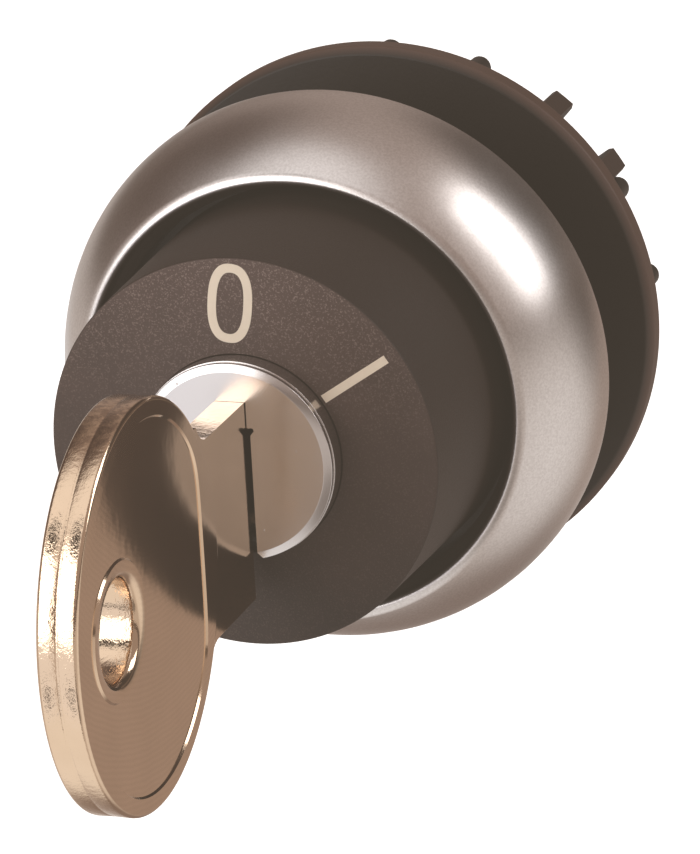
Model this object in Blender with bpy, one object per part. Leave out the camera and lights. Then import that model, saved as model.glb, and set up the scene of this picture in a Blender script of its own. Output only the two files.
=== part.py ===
"""Key-operated selector switch for a 22 mm panel hole, two positions, built as separate parts.

The origin is on the switch's axis, in the plane where the gasket meets the front of the panel.
+Y runs through the panel to the inside, -Y to the user, +X to the user's right and +Z up.
Lengths are in millimetres until they go into a mesh, which is in metres. Angles round the axis
are in degrees, clockwise from the top as the user sees them, so the key turns to larger angles.
"""

import math

import bmesh
import bpy

MM = 0.001
SIDES_LARGE = 56
SIDES_MEDIUM = 40
SIDES_SMALL = 16
FIT = 0.2                 # gap between pieces that sit on or in each other

# Motion
TURN_ANGLE = 60.0         # from position 0 to position 1
KEY_TRAVEL = 22.0         # takes the blade clear of the lock
WAFER_DROP = 0.55         # how far a wafer springs out of the plug without the key
PLUNGER_TRAVEL = 2.4

# Stations along the axis
SHROUD_FRONT = -16.85
PLUG_FRONT = -18.35
LIP_FRONT = -8.3
BEZEL_REAR = -1.2
SEAT = 0.0
RING_FRONT = 6.65
RING_RIM_REAR = 8.2
RING_REAR = 11.4
THREAD_REAR = 13.2
HOUSING_REAR = 17.4

# Radii
BEZEL_RADIUS = 14.85
LIP_RADIUS = 11.6
SHROUD_FRONT_RADIUS = 10.3
SHROUD_REAR_RADIUS = 10.75
PLUG_HEAD_RADIUS = 5.25
PLUG_RADIUS = 4.9
COLLAR_RADIUS = 11.0
NECK_RADIUS = 10.2
CHAMBER_RADIUS = 9.2
RING_RIM_RADIUS = 15.12
RING_HUB_RADIUS = 13.6

# Grip ribs and spanner lugs on the lock ring's hub
RIB_COUNT = 17
FIRST_RIB = -1.5
LUG_RIB = 2               # a lug takes this rib's place
LUG_ANGLES = (39.3, 56.3, 208.8, 225.8)
LUG_RADIUS = 14.85

# Housing
FLANGE_FRONT = -4.4
FLANGE_REAR = -1.4
FLANGE_RADIUS = 13.4
TUBE_FRONT = -12.6
TUBE_RADIUS = 8.0
TUBE_BORE = 6.5
PARTITION_REAR = 2.8
COVER_FRONT = 16.0
COVER_REAR = 17.2
COVER_SCREW_RADIUS = 7.2  # from the axis

# Lock barrel
BARREL_FRONT = -14.4
BARREL_REAR = 6.2
BARREL_RADIUS = 6.3
BARREL_BORE = 5.05
BARREL_FLANGE_RADIUS = 7.8
LOCKING_GROOVE_RADIUS = 5.6

# Plug tail and cam
PLUG_BODY_REAR = 7.6
TAIL_REAR = 9.5
TAIL_WIDTH = 4.2
CAM_FRONT = 8.0
CAM_REAR = 9.2
CAM_RADIUS = 8.2
RAMP_INNER = 4.7
RAMP_OUTER = 7.9
RAMP_DWELL = 15.0         # degrees of level track beyond each end of the ramp
DETENT_ANGLE = 180.0      # where the detent spring presses on the cam
STOP_HALF_ANGLE = 5.0     # half the width of the cam's stop lug
STOP_PLAY = 2.0           # degrees between the lug and a stop

# Plungers
PLUNGER_OFFSET = 6.2      # from the axis, left and right
PLUNGER_NOSE = CAM_REAR + 0.35
PLUNGER_FLANGE_FRONT = 10.6
PLUNGER_FLANGE_REAR = 11.4
PLUNGER_TIP = 17.9
PLUNGER_STEM_RADIUS = 1.1

# Key: a nearly round bow, a deep neck and a stepped blade
BOW_CENTRE_Y = -33.45
BOW_CENTRE_Z = -2.05
BOW_HALF_LENGTH = 9.55
BOW_HALF_HEIGHT = 10.15
BOW_THICKNESS = 2.1
BOW_EDGE = 0.3            # bevel round the bow
BOW_SIDES = 48
BOW_HOLE_Y = -37.4
BOW_HOLE_Z = -1.8
BOW_HOLE_RADIUS = 3.0
NECK_TOP = 3.25
NECK_BOTTOM = -7.2
NECK_REAR = PLUG_FRONT - 0.3
BLADE_THICKNESS = 1.6
BLADE_TOP = 3.2
BLADE_BOTTOM = -3.6
BLADE_TIP = 2.4
KEYWAY_HALF_WIDTH = 1.0
CUT_FLAT = 0.65           # half the length of the level stretch at each cut

# Wafers
WAFER_COUNT = 5
FIRST_WAFER = -12.0
WAFER_PITCH = 2.6
WAFER_HALF_THICKNESS = 0.4
WAFER_HALF_WIDTH = 1.9
WAFER_RADIUS = 4.75
WAFER_SLOT_HALF = 0.55
WAFER_WINDOW_PLAY = 0.12
FIRST_CUT_HEIGHT = 2.9
CUT_STEP = 0.24           # each cut is this much lower than the one before
EAR_OUTER = 3.9
EAR_BOTTOM = -0.6
EAR_TOP = 0.4
SPRING_POCKET_TOP = 3.2


def clear_scene():
    for thing in list(bpy.data.objects):
        bpy.data.objects.remove(thing, do_unlink=True)


def material(name, colour, roughness, metallic=0.0):
    """One material made of a Principled BSDF."""
    made = bpy.data.materials.new(name)
    made.use_nodes = True
    shader = made.node_tree.nodes["Principled BSDF"]
    shader.inputs["Base Color"].default_value = (*colour, 1.0)
    shader.inputs["Roughness"].default_value = roughness
    shader.inputs["Metallic"].default_value = metallic
    made.diffuse_color = (*colour, 1.0)
    return made


def polar(radius, angle):
    """x and z of a point at this radius and at this angle clockwise from the top."""
    turn = math.radians(angle)
    return radius * math.sin(turn), radius * math.cos(turn)


def arc(centre, radius, start, end, steps):
    """Points (first, second) on an arc about centre, from start to end degrees."""
    points = []
    for step in range(steps + 1):
        turn = math.radians(start + (end - start) * step / steps)
        points.append((centre[0] + radius * math.cos(turn), centre[1] + radius * math.sin(turn)))
    return points


# Meshes. Each returns a bmesh of one closed body.

def turned(outline, sides):
    """Body turned about the Y axis from (radius, y) points; it is solid if both ends are on the axis."""
    made = bmesh.new()
    ring = [made.verts.new((radius * MM, y * MM, 0.0)) for radius, y in outline]
    pairs = list(zip(ring, ring[1:]))
    if outline[0][0] > 0 or outline[-1][0] > 0:
        pairs.append((ring[-1], ring[0]))
    edges = [made.edges.new(pair) for pair in pairs]
    bmesh.ops.spin(
        made, geom=ring + edges, cent=(0, 0, 0), axis=(0, 1, 0), dvec=(0, 0, 0),
        angle=2 * math.pi, steps=sides, use_merge=True, use_duplicate=False,
    )
    bmesh.ops.remove_doubles(made, verts=made.verts, dist=0.001 * MM)
    return made


def extruded(corners, direction):
    """Body made by extruding a closed loop of 3-D corners along direction."""
    made = bmesh.new()
    loop = [made.verts.new([value * MM for value in corner]) for corner in corners]
    face = made.faces.new(loop)
    grown = bmesh.ops.extrude_face_region(made, geom=[face])
    moved = [item for item in grown["geom"] if isinstance(item, bmesh.types.BMVert)]
    bmesh.ops.translate(made, verts=moved, vec=[value * MM for value in direction])
    return made


def along_y(outline, front, rear):
    """Body with an (x, z) outline from y = front to y = rear."""
    return extruded([(x, front, z) for x, z in outline], (0, rear - front, 0))


def along_x(outline, thickness):
    """Body with a (y, z) outline, centred on x = 0."""
    return extruded([(-thickness / 2, y, z) for y, z in outline], (thickness, 0, 0))


def block(low, high):
    """Box between two corners."""
    x0, y0, z0 = low
    x1, y1, z1 = high
    return along_y([(x0, z0), (x1, z0), (x1, z1), (x0, z1)], y0, y1)


def sector(inner, outer, start, end, front, rear, steps=3):
    """Piece of a ring about the Y axis between two angles."""
    angles = [start + (end - start) * step / steps for step in range(steps + 1)]
    outline = [polar(outer, angle) for angle in angles]
    outline += [polar(inner, angle) for angle in reversed(angles)]
    return along_y(outline, front, rear)


def rod(x, z, radius, front, rear, sides=SIDES_SMALL):
    """Cylinder parallel to the Y axis."""
    return along_y(arc((x, z), radius, 0, 360 * (sides - 1) / sides, sides - 1), front, rear)


def together(bodies):
    """One bmesh that holds several bodies that don't touch."""
    whole = bmesh.new()
    for body in bodies:
        part = bpy.data.meshes.new("part")
        body.to_mesh(part)
        whole.from_mesh(part)
        body.free()
        bpy.data.meshes.remove(part)
    return whole


# Objects

def place(name, body, finish, location=(0, 0, 0)):
    """Makes an object from a bmesh, with its faces pointing out and its round faces smooth."""
    bmesh.ops.recalc_face_normals(body, faces=body.faces)
    mesh = bpy.data.meshes.new(name)
    body.to_mesh(mesh)
    body.free()
    mesh.materials.append(finish)
    mesh.shade_smooth()
    mesh.set_sharp_from_angle(angle=math.radians(30))
    thing = bpy.data.objects.new(name, mesh)
    thing.location = [value * MM for value in location]
    bpy.context.scene.collection.objects.link(thing)
    return thing


def again(name, source, location):
    """Another object with the same mesh."""
    thing = bpy.data.objects.new(name, source.data)
    thing.location = [value * MM for value in location]
    bpy.context.scene.collection.objects.link(thing)
    return thing


def combine(thing, body, operation):
    """Cuts a body from an object, or joins it on, with a Boolean modifier."""
    count = sum(modifier.type == "BOOLEAN" for modifier in thing.modifiers)
    location = [value / MM for value in thing.location]
    tool = place(f"tool_{thing.name}_{count}", body, thing.data.materials[0], location)
    tool.hide_render = True
    tool.display_type = "WIRE"
    modifier = thing.modifiers.new(f"{operation.lower()}_{count}", "BOOLEAN")
    modifier.operation = operation
    modifier.solver = "EXACT"
    modifier.object = tool


def cut(thing, body):
    combine(thing, body, "DIFFERENCE")


def join(thing, body):
    combine(thing, body, "UNION")


def coil(name, finish, radius, wire, turns, start, end, axis, centre, steps_per_turn=10):
    """Helical spring of round wire, from start to end along the Y or the Z axis, about centre."""
    curve = bpy.data.curves.new(name, "CURVE")
    curve.dimensions = "3D"
    curve.bevel_depth = wire / 2 * MM
    curve.bevel_resolution = 0
    curve.use_fill_caps = True
    spline = curve.splines.new("POLY")
    steps = round(turns * steps_per_turn)
    spline.points.add(steps)
    for step, point in enumerate(spline.points):
        turn = 2 * math.pi * step / steps_per_turn
        side, other = radius * math.cos(turn), radius * math.sin(turn)
        ahead = start + (end - start) * step / steps
        place_at = (side, ahead, other) if axis == "Y" else (side, other, ahead)
        point.co = (*[value * MM for value in place_at], 1.0)
    curve.materials.append(finish)
    thing = bpy.data.objects.new(name, curve)
    thing.location = [value * MM for value in centre]
    bpy.context.scene.collection.objects.link(thing)
    return thing


def group(name, members):
    """Puts objects under an empty on the switch's axis."""
    empty = bpy.data.objects.new(name, None)
    empty.empty_display_size = 5 * MM
    bpy.context.scene.collection.objects.link(empty)
    for member in members:
        member.parent = empty
    return empty


# The fixed parts

def bezel_outline():
    """Domed section, from the rear edge over the crest to the lip, and back along the inside."""
    dome_start, crest_radius, power = -1.7, 12.1, 1.2
    outline = [(BEZEL_RADIUS, BEZEL_REAR), (BEZEL_RADIUS, dome_start)]
    steps = 6
    for step in range(1, steps + 1):
        turn = math.pi / 2 * step / steps
        radius = crest_radius + (BEZEL_RADIUS - crest_radius) * math.cos(turn) ** power
        outline.append((radius, dome_start + (LIP_FRONT - dome_start) * math.sin(turn) ** power))
    outline += [(LIP_RADIUS + 0.1, LIP_FRONT + 0.15), (LIP_RADIUS, LIP_FRONT + 0.6)]
    throat, step = 11.1, FLANGE_FRONT - FIT
    outline += [(throat, step - 2.0), (throat, step)]
    outline += [(FLANGE_RADIUS + FIT, step), (FLANGE_RADIUS + FIT, BEZEL_REAR)]
    return outline


def make_bezel(finish):
    return place("bezel_ring", turned(bezel_outline(), SIDES_LARGE), finish)


def make_gasket(finish):
    inner, outer, front = 12.0, 14.2, -1.0
    outline = [(inner, SEAT), (inner, front), (outer, front), (outer, SEAT)]
    return place("front_gasket", turned(outline, SIDES_LARGE), finish)


def make_shroud(finish):
    """Cup with the marks' face in front and a hole for the plug's head."""
    edge = 0.25
    wall_rear = BARREL_FRONT - 0.25
    rear = FLANGE_FRONT - FIT
    hole = PLUG_HEAD_RADIUS + 0.12
    inside = TUBE_RADIUS + 0.3
    outline = [
        (hole, SHROUD_FRONT),
        (SHROUD_FRONT_RADIUS - edge, SHROUD_FRONT), (SHROUD_FRONT_RADIUS, SHROUD_FRONT + edge),
        (SHROUD_REAR_RADIUS, rear), (inside, rear), (inside, wall_rear), (hole, wall_rear),
    ]
    return place("shroud", turned(outline, SIDES_LARGE), finish)


def make_housing(finish):
    """Moulded body: front tube, flange, threaded collar and the chamber for the cam."""
    pocket_inner, pocket_outer, pocket_floor = 8.7, 10.1, 1.4
    outline = [
        (TUBE_BORE, TUBE_FRONT), (TUBE_RADIUS, TUBE_FRONT), (TUBE_RADIUS, FLANGE_FRONT),
        (pocket_inner, FLANGE_FRONT), (pocket_inner, pocket_floor), (pocket_outer, pocket_floor),
        (pocket_outer, FLANGE_FRONT), (FLANGE_RADIUS, FLANGE_FRONT), (FLANGE_RADIUS, FLANGE_REAR),
        (COLLAR_RADIUS, FLANGE_REAR), (COLLAR_RADIUS, THREAD_REAR - 0.5), (COLLAR_RADIUS - 0.5, THREAD_REAR),
        (NECK_RADIUS, THREAD_REAR), (NECK_RADIUS, HOUSING_REAR), (CHAMBER_RADIUS, HOUSING_REAR),
        (CHAMBER_RADIUS, PARTITION_REAR), (TUBE_BORE, PARTITION_REAR),
    ]
    housing = place("housing", turned(outline, SIDES_LARGE), finish)
    join(housing, block((-1.4, 0.1, COLLAR_RADIUS - 0.6), (1.4, 2.2, COLLAR_RADIUS + 0.85)))
    bayonet = [
        sector(NECK_RADIUS - 0.4, NECK_RADIUS + 0.75, angle - 13, angle + 13, 14.6, 15.9)
        for angle in (45, 135, 225, 315)
    ]
    join(housing, together(bayonet))
    bosses = [
        rod(0, side * COVER_SCREW_RADIUS, 2.1, 12.8, COVER_FRONT - FIT) for side in (1, -1)
    ]
    join(housing, together(bosses))
    stops = [
        sector(8.4, CHAMBER_RADIUS + 0.4, first, first + 10, CAM_FRONT - 0.4, CAM_REAR + 0.4)
        for first in (-STOP_HALF_ANGLE - STOP_PLAY - 10, TURN_ANGLE + STOP_HALF_ANGLE + STOP_PLAY)
    ]
    join(housing, together(stops))
    pilots = [
        rod(0, side * COVER_SCREW_RADIUS, 0.95, 13.2, COVER_FRONT + 1.0, 12) for side in (1, -1)
    ]
    cut(housing, together(pilots))
    return housing


def make_barrel(finish):
    """Fixed sleeve of the lock, with a locking groove for each position."""
    flange_rear = TUBE_FRONT - FIT
    outline = [
        (BARREL_BORE, BARREL_FRONT), (BARREL_FLANGE_RADIUS, BARREL_FRONT),
        (BARREL_FLANGE_RADIUS, flange_rear), (BARREL_RADIUS, flange_rear),
        (BARREL_RADIUS, BARREL_REAR), (BARREL_BORE, BARREL_REAR),
    ]
    barrel = place("lock_barrel", turned(outline, SIDES_MEDIUM), finish)
    front, rear, half = FIRST_WAFER - 1.2, 0.2, 24.0
    for angle in (180, 180 + TURN_ANGLE):
        groove = sector(BARREL_BORE - 1.2, LOCKING_GROOVE_RADIUS, angle - half, angle + half, front, rear, 8)
        cut(barrel, groove)
    return barrel


def make_barrel_nut(finish):
    """Hexagon nut that clamps the barrel to the housing's partition."""
    across_corners = 8.6
    hexagon = [polar(across_corners, 60 * side + 30) for side in range(6)]
    nut = place("barrel_nut", along_y(hexagon, PARTITION_REAR + FIT, 5.0), finish)
    cut(nut, rod(0, 0, BARREL_RADIUS + FIT, 2.0, 6.0, SIDES_MEDIUM))
    return nut


def make_lock_ring(finish):
    """Threaded ring behind the panel, with a rim, grip ribs and two spanner lugs."""
    bore = COLLAR_RADIUS + 0.3
    outline = [
        (bore, RING_FRONT), (RING_RIM_RADIUS, RING_FRONT), (RING_RIM_RADIUS, RING_RIM_REAR),
        (RING_HUB_RADIUS, RING_RIM_REAR), (RING_HUB_RADIUS, RING_REAR), (bore, RING_REAR),
    ]
    ring = place("lock_ring", turned(outline, SIDES_LARGE), finish)
    front, rear = RING_RIM_REAR - 0.5, RING_REAR - 0.1
    rib_pitch = 360 / RIB_COUNT
    ribs = [
        rod(*polar(RING_HUB_RADIUS + 0.1, FIRST_RIB + rib_pitch * count), 0.75, front, rear, 10)
        for count in range(RIB_COUNT) if count != LUG_RIB
    ]
    join(ring, together(ribs))
    lugs = [
        sector(RING_HUB_RADIUS - 0.6, LUG_RADIUS, middle - 2.7, middle + 2.7, front, rear, 2)
        for middle in LUG_ANGLES
    ]
    join(ring, together(lugs))
    return ring


def make_detent_spring(finish):
    """Leaf spring against the chamber wall, its nose in the cam's notch."""
    half_span, nose_half = 30.0, 10.0
    seat, thickness, nose_depth = 8.72, 0.22, 0.85
    angles = [DETENT_ANGLE + offset for offset in (-half_span, -20, -nose_half, 0, nose_half, 20, half_span)]
    outer, inner = [], []
    for angle in angles:
        dip = nose_depth * max(0.0, 1 - abs(angle - DETENT_ANGLE) / nose_half)
        outer.append(polar(seat + thickness - dip, angle))
        inner.append(polar(seat - dip, angle))
    outline = outer + inner[::-1]
    return place("detent_spring", along_y(outline, CAM_FRONT + 0.15, CAM_REAR - 0.15), finish)


def make_rear_cover(finish):
    radius = CHAMBER_RADIUS - FIT
    outline = [(1.6, COVER_FRONT), (radius, COVER_FRONT), (radius, COVER_REAR), (1.6, COVER_REAR)]
    cover = place("rear_cover", turned(outline, SIDES_MEDIUM), finish)
    holes = [rod(side * PLUNGER_OFFSET, 0, PLUNGER_STEM_RADIUS + 0.25, 15, 19) for side in (1, -1)]
    holes += [rod(0, side * COVER_SCREW_RADIUS, 0.98, 15, 19, 12) for side in (1, -1)]
    cut(cover, together(holes))
    return cover


def make_cover_screw(name, height, finish):
    """Slotted screw through the rear cover into a boss of the housing."""
    shank, head = 0.75, 1.5
    tip, head_front, head_rear = 13.5, COVER_REAR + 0.1, COVER_REAR + 0.95
    outline = [
        (0, tip), (shank, tip + 0.2), (shank, head_front), (head, head_front),
        (head, head_rear - 0.35), (head - 0.4, head_rear), (0, head_rear),
    ]
    screw = place(name, turned(outline, 14), finish, (0, 0, height))
    cut(screw, block((-2, head_rear - 0.4, -0.2), (2, head_rear + 1, 0.2)))
    return screw


# The parts that turn with the key

def wafer_station(number):
    return FIRST_WAFER + WAFER_PITCH * number


def cut_height(number):
    return FIRST_CUT_HEIGHT - CUT_STEP * number


def make_plug(finish):
    """Turning plug: round head, slotted body, clip groove and square tail."""
    groove_front, groove_rear, groove_radius = -16.3, -15.3, 4.6
    clip_front, clip_rear, clip_radius = BARREL_REAR + 0.2, BARREL_REAR + 1.0, 4.1
    bevel = 0.3
    head_rear = BARREL_FRONT - FIT
    head, body = PLUG_HEAD_RADIUS, PLUG_RADIUS
    outline = [
        (0, PLUG_FRONT), (head - 1.5 * bevel, PLUG_FRONT), (head, PLUG_FRONT + bevel),
        (head, groove_front), (groove_radius, groove_front), (groove_radius, groove_rear),
        (head, groove_rear), (head, head_rear), (body, head_rear),
        (body, clip_front), (clip_radius, clip_front), (clip_radius, clip_rear),
        (body, clip_rear), (body, PLUG_BODY_REAR), (0, PLUG_BODY_REAR),
    ]
    plug = place("lock_plug", turned(outline, SIDES_MEDIUM), finish)
    half = TAIL_WIDTH / 2
    join(plug, block((-half, PLUG_BODY_REAR - 0.5, -half), (half, TAIL_REAR, half)))
    cut(plug, rod(0, 0, 0.95, PLUG_BODY_REAR - 1.5, TAIL_REAR + 1, 12))
    wide = KEYWAY_HALF_WIDTH
    before = PLUG_FRONT - 1
    cut(plug, block((-wide, before, BLADE_BOTTOM - 0.2), (wide, BLADE_TIP + 0.6, BLADE_TOP + 0.2)))
    flare, below = wide + 0.8, -5.6
    mouth = [(-wide, 0.0), (-wide, -4.9), (-flare, below), (flare, below), (wide, -4.9), (wide, 0.0)]
    cut(plug, along_y(mouth, before, PLUG_FRONT + 1.2))
    notch_height, notch_radius = 1.78, 0.42
    cut(plug, along_y(arc((wide, notch_height), notch_radius, 0, 315, 7), before, PLUG_FRONT + 1.0))
    slots, pockets = [], []
    for number in range(WAFER_COUNT):
        y = wafer_station(number)
        front, rear = y - WAFER_SLOT_HALF, y + WAFER_SLOT_HALF
        width = WAFER_HALF_WIDTH + FIT
        slots.append(block((-width, front, -7), (width, rear, 7)))
        floor = EAR_BOTTOM - WAFER_DROP - 0.25
        pockets.append(block((width - 0.5, front, floor), (EAR_OUTER + FIT, rear, SPRING_POCKET_TOP)))
    cut(plug, together(slots))
    cut(plug, together(pockets))
    return plug


def make_oring(finish):
    """Rubber ring in the groove of the plug's head."""
    outline = [(4.98 + r, -15.8 + y) for r, y in arc((0, 0), 0.34, 0, 315, 7)]
    return place("plug_oring", turned(outline, 32), finish)


def make_plug_clip(finish):
    """Open clip that keeps the plug in the barrel."""
    inner, outer, gap = 4.3, 5.9, 42
    front, rear = BARREL_REAR + 0.35, BARREL_REAR + 0.85
    return place("plug_clip", sector(inner, outer, 180 + gap, 540 - gap, front, rear, 16), finish)


def ramp(plunger_angle):
    """Cam track: level, then rising towards smaller angles, then level again."""
    low = CAM_REAR - 0.4
    stretch = [(plunger_angle + RAMP_DWELL, 0.0), (plunger_angle, 0.0)]
    steps = 8
    for step in range(1, steps + 1):
        stretch.append((plunger_angle - TURN_ANGLE * step / steps, PLUNGER_TRAVEL * step / steps))
    stretch.append((plunger_angle - TURN_ANGLE - RAMP_DWELL, PLUNGER_TRAVEL))
    made = bmesh.new()
    rows = []
    for angle, rise in stretch:
        inner_x, inner_z = polar(RAMP_INNER, angle)
        outer_x, outer_z = polar(RAMP_OUTER, angle)
        top = CAM_REAR + 0.02 + rise
        corners = [
            (inner_x, low, inner_z), (outer_x, low, outer_z),
            (outer_x, top, outer_z), (inner_x, top, inner_z),
        ]
        rows.append([made.verts.new([value * MM for value in corner]) for corner in corners])
    for near, far in zip(rows, rows[1:]):
        for side in range(4):
            following = (side + 1) % 4
            made.faces.new((near[side], near[following], far[following], far[side]))
    made.faces.new(rows[0])
    made.faces.new(rows[-1])
    bmesh.ops.recalc_face_normals(made, faces=made.faces)
    return made


def make_cam(finish):
    """Disc on the plug's tail with two ramps, a stop lug and two detent notches."""
    disc = [(0, CAM_FRONT), (CAM_RADIUS, CAM_FRONT), (CAM_RADIUS, CAM_REAR), (0, CAM_REAR)]
    cam = place("cam", turned(disc, SIDES_MEDIUM), finish)
    join(cam, together([ramp(90), ramp(270)]))
    lug_outer = CHAMBER_RADIUS - 0.25
    join(cam, sector(CAM_RADIUS - 0.6, lug_outer, -STOP_HALF_ANGLE, STOP_HALF_ANGLE, CAM_FRONT, CAM_REAR, 2))
    notches = []
    outside, bottom, half = CAM_RADIUS + 0.6, CAM_RADIUS - 0.8, 14
    for angle in (DETENT_ANGLE, DETENT_ANGLE - TURN_ANGLE):
        notches.append([polar(outside, angle - half), polar(bottom, angle), polar(outside, angle + half)])
    cut(cam, together([along_y(notch, CAM_FRONT - 1, CAM_REAR + 0.01) for notch in notches]))
    half = TAIL_WIDTH / 2 + 0.15
    cut(cam, block((-half, CAM_FRONT - 1, -half), (half, CAM_REAR + 1, half)))
    return cam


def make_cam_washer(finish):
    inner, outer = 1.15, 3.9
    front, rear = TAIL_REAR + 0.1, TAIL_REAR + 0.5
    outline = [(inner, front), (outer, front), (outer, rear), (inner, rear)]
    return place("cam_washer", turned(outline, 24), finish)


def make_cam_screw(finish):
    tip, front, rear = PLUG_BODY_REAR - 1.3, TAIL_REAR + 0.6, TAIL_REAR + 1.9
    shank, head = 0.8, 2.2
    outline = [
        (0, tip), (shank, tip + 0.2), (shank, front),
        (head, front), (head, rear - 0.4), (head - 0.5, rear), (0, rear),
    ]
    screw = place("cam_screw", turned(outline, 16), finish)
    cut(screw, block((-3, rear - 0.5, -0.25), (3, rear + 1, 0.25)))
    return screw


def blade_outline():
    """(y, z) outline of the neck and the blade, whose top steps down towards the tip."""
    inside_bow = BOW_CENTRE_Y + 5.0
    outline = [(inside_bow, NECK_TOP), (NECK_REAR, NECK_TOP), (NECK_REAR, BLADE_TOP)]
    for number in range(WAFER_COUNT):
        y, height = wafer_station(number), cut_height(number)
        outline += [(y - CUT_FLAT, height), (y + CUT_FLAT, height)]
    outline += [(BLADE_TIP - 1.4, 1.4), (BLADE_TIP, -0.4)]
    outline += [(BLADE_TIP, -1.8), (BLADE_TIP - 1.6, BLADE_BOTTOM), (NECK_REAR, BLADE_BOTTOM)]
    outline += [(NECK_REAR, NECK_BOTTOM), (inside_bow, NECK_BOTTOM)]
    return outline


def make_key(finish):
    """Flat key: thick, nearly round bow with a hole, neck and blade."""
    rim = []
    for side in range(BOW_SIDES):
        turn = 2 * math.pi * side / BOW_SIDES
        rim.append((
            BOW_CENTRE_Y + BOW_HALF_LENGTH * math.cos(turn),
            BOW_CENTRE_Z + BOW_HALF_HEIGHT * math.sin(turn),
        ))
    key = place("key", along_x(rim, BOW_THICKNESS), finish)
    bevel = key.modifiers.new("rounded_edges", "BEVEL")
    bevel.width = BOW_EDGE * MM
    bevel.segments = 1
    bevel.limit_method = "ANGLE"
    bevel.angle_limit = math.radians(40)
    join(key, along_x(blade_outline(), BLADE_THICKNESS))
    cut(key, along_x(arc((BOW_HOLE_Y, BOW_HOLE_Z), BOW_HOLE_RADIUS, 0, 345, 23), 5))
    return key


def make_wafers(finish):
    """Plates that the key lines up, each with a window and an ear for its spring."""
    wafers = []
    half_arc = math.degrees(math.asin(WAFER_HALF_WIDTH / WAFER_RADIUS))
    for number in range(WAFER_COUNT):
        outline = arc((0, 0), WAFER_RADIUS, 270 - half_arc, 270 + half_arc, 4)
        outline += [(WAFER_HALF_WIDTH, EAR_BOTTOM), (EAR_OUTER, EAR_BOTTOM), (EAR_OUTER, EAR_TOP)]
        outline += [(WAFER_HALF_WIDTH, EAR_TOP)]
        outline += arc((0, 0), WAFER_RADIUS, 90 - half_arc, 90 + half_arc, 4)
        plate = along_y(outline, -WAFER_HALF_THICKNESS, WAFER_HALF_THICKNESS)
        wafer = place(f"wafer_{number + 1}", plate, finish, (0, wafer_station(number), 0))
        half_window, top = 1.1, cut_height(number) + WAFER_WINDOW_PLAY
        cut(wafer, block((-half_window, -1, BLADE_BOTTOM - 0.15), (half_window, 1, top)))
        wafers.append(wafer)
    return wafers


def make_wafer_springs(finish):
    radius, wire, turns = 0.33, 0.2, 3.5
    springs = []
    for number in range(WAFER_COUNT):
        centre = (3.3, wafer_station(number), 0)
        springs.append(coil(
            f"wafer_spring_{number + 1}", finish, radius, wire, turns,
            EAR_TOP + FIT, SPRING_POCKET_TOP - FIT, "Z", centre, 7,
        ))
    return springs


# The plungers

def make_plungers(finish):
    """Push rods that carry the cam's movement out through the rear cover."""
    body = turned([
        (0, PLUNGER_NOSE), (0.5, PLUNGER_NOSE), (1.5, PLUNGER_NOSE + 1.0), (2.1, PLUNGER_FLANGE_FRONT),
        (2.1, PLUNGER_FLANGE_REAR), (PLUNGER_STEM_RADIUS, PLUNGER_FLANGE_REAR),
        (PLUNGER_STEM_RADIUS, PLUNGER_TIP - 0.3), (PLUNGER_STEM_RADIUS - 0.3, PLUNGER_TIP), (0, PLUNGER_TIP),
    ], SIDES_SMALL)
    right = place("plunger_right", body, finish, (PLUNGER_OFFSET, 0, 0))
    left = again("plunger_left", right, (-PLUNGER_OFFSET, 0, 0))
    return left, right


def make_plunger_springs(finish):
    radius, wire, turns = 1.6, 0.3, 3.5
    for name, side in (("plunger_spring_left", -1), ("plunger_spring_right", 1)):
        centre = (side * PLUNGER_OFFSET, 0, 0)
        front, rear = PLUNGER_FLANGE_REAR + 0.3, COVER_FRONT - 0.3
        coil(name, finish, radius, wire, turns, front, rear, "Y", centre, 12)


def main():
    clear_scene()
    black = material("black_plastic", (0.035, 0.031, 0.029), 0.55)
    dark = material("dark_plastic", (0.05, 0.045, 0.04), 0.6)
    satin = material("satin_metal", (0.62, 0.59, 0.56), 0.32, 1.0)
    polished = material("polished_face", (0.7, 0.67, 0.64), 0.15, 1.0)
    nickel = material("nickel_key", (0.66, 0.58, 0.5), 0.16, 1.0)
    brass = material("wafer_brass", (0.72, 0.55, 0.28), 0.35, 1.0)
    steel = material("spring_steel", (0.5, 0.5, 0.5), 0.3, 1.0)
    zinc = material("die_cast_zinc", (0.5, 0.5, 0.5), 0.45, 1.0)
    rubber = material("black_rubber", (0.02, 0.02, 0.02), 0.85)
    red = material("plunger_plastic", (0.5, 0.06, 0.04), 0.45)

    make_bezel(satin)
    make_gasket(rubber)
    make_shroud(black)
    make_housing(black)
    make_barrel(zinc)
    make_barrel_nut(brass)
    make_lock_ring(dark)
    make_detent_spring(steel)
    make_rear_cover(dark)
    make_cover_screw("cover_screw_top", COVER_SCREW_RADIUS, steel)
    make_cover_screw("cover_screw_bottom", -COVER_SCREW_RADIUS, steel)
    make_plunger_springs(steel)

    plug_parts = [
        make_plug(polished), make_oring(rubber), make_plug_clip(steel),
        make_cam(dark), make_cam_washer(steel), make_cam_screw(steel),
    ]
    group("turning_parts", plug_parts + make_wafers(brass) + make_wafer_springs(steel))
    group("key_parts", [make_key(nickel)])
    group("plungers", make_plungers(red))


main()
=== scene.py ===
"""Looks of the key-operated selector switch: finer pieces, materials, studio and camera.

Lengths are in millimetres until they go into a mesh, which is in metres like the frame. The switch's
axis is Y: -Y is to the user, +Y is through the panel, +X is to the user's right and +Z is up. Angles
round the axis are in degrees, clockwise from the top as the user sees them.
"""

import math

import bmesh
import bpy
from mathutils import Matrix, Vector


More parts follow.
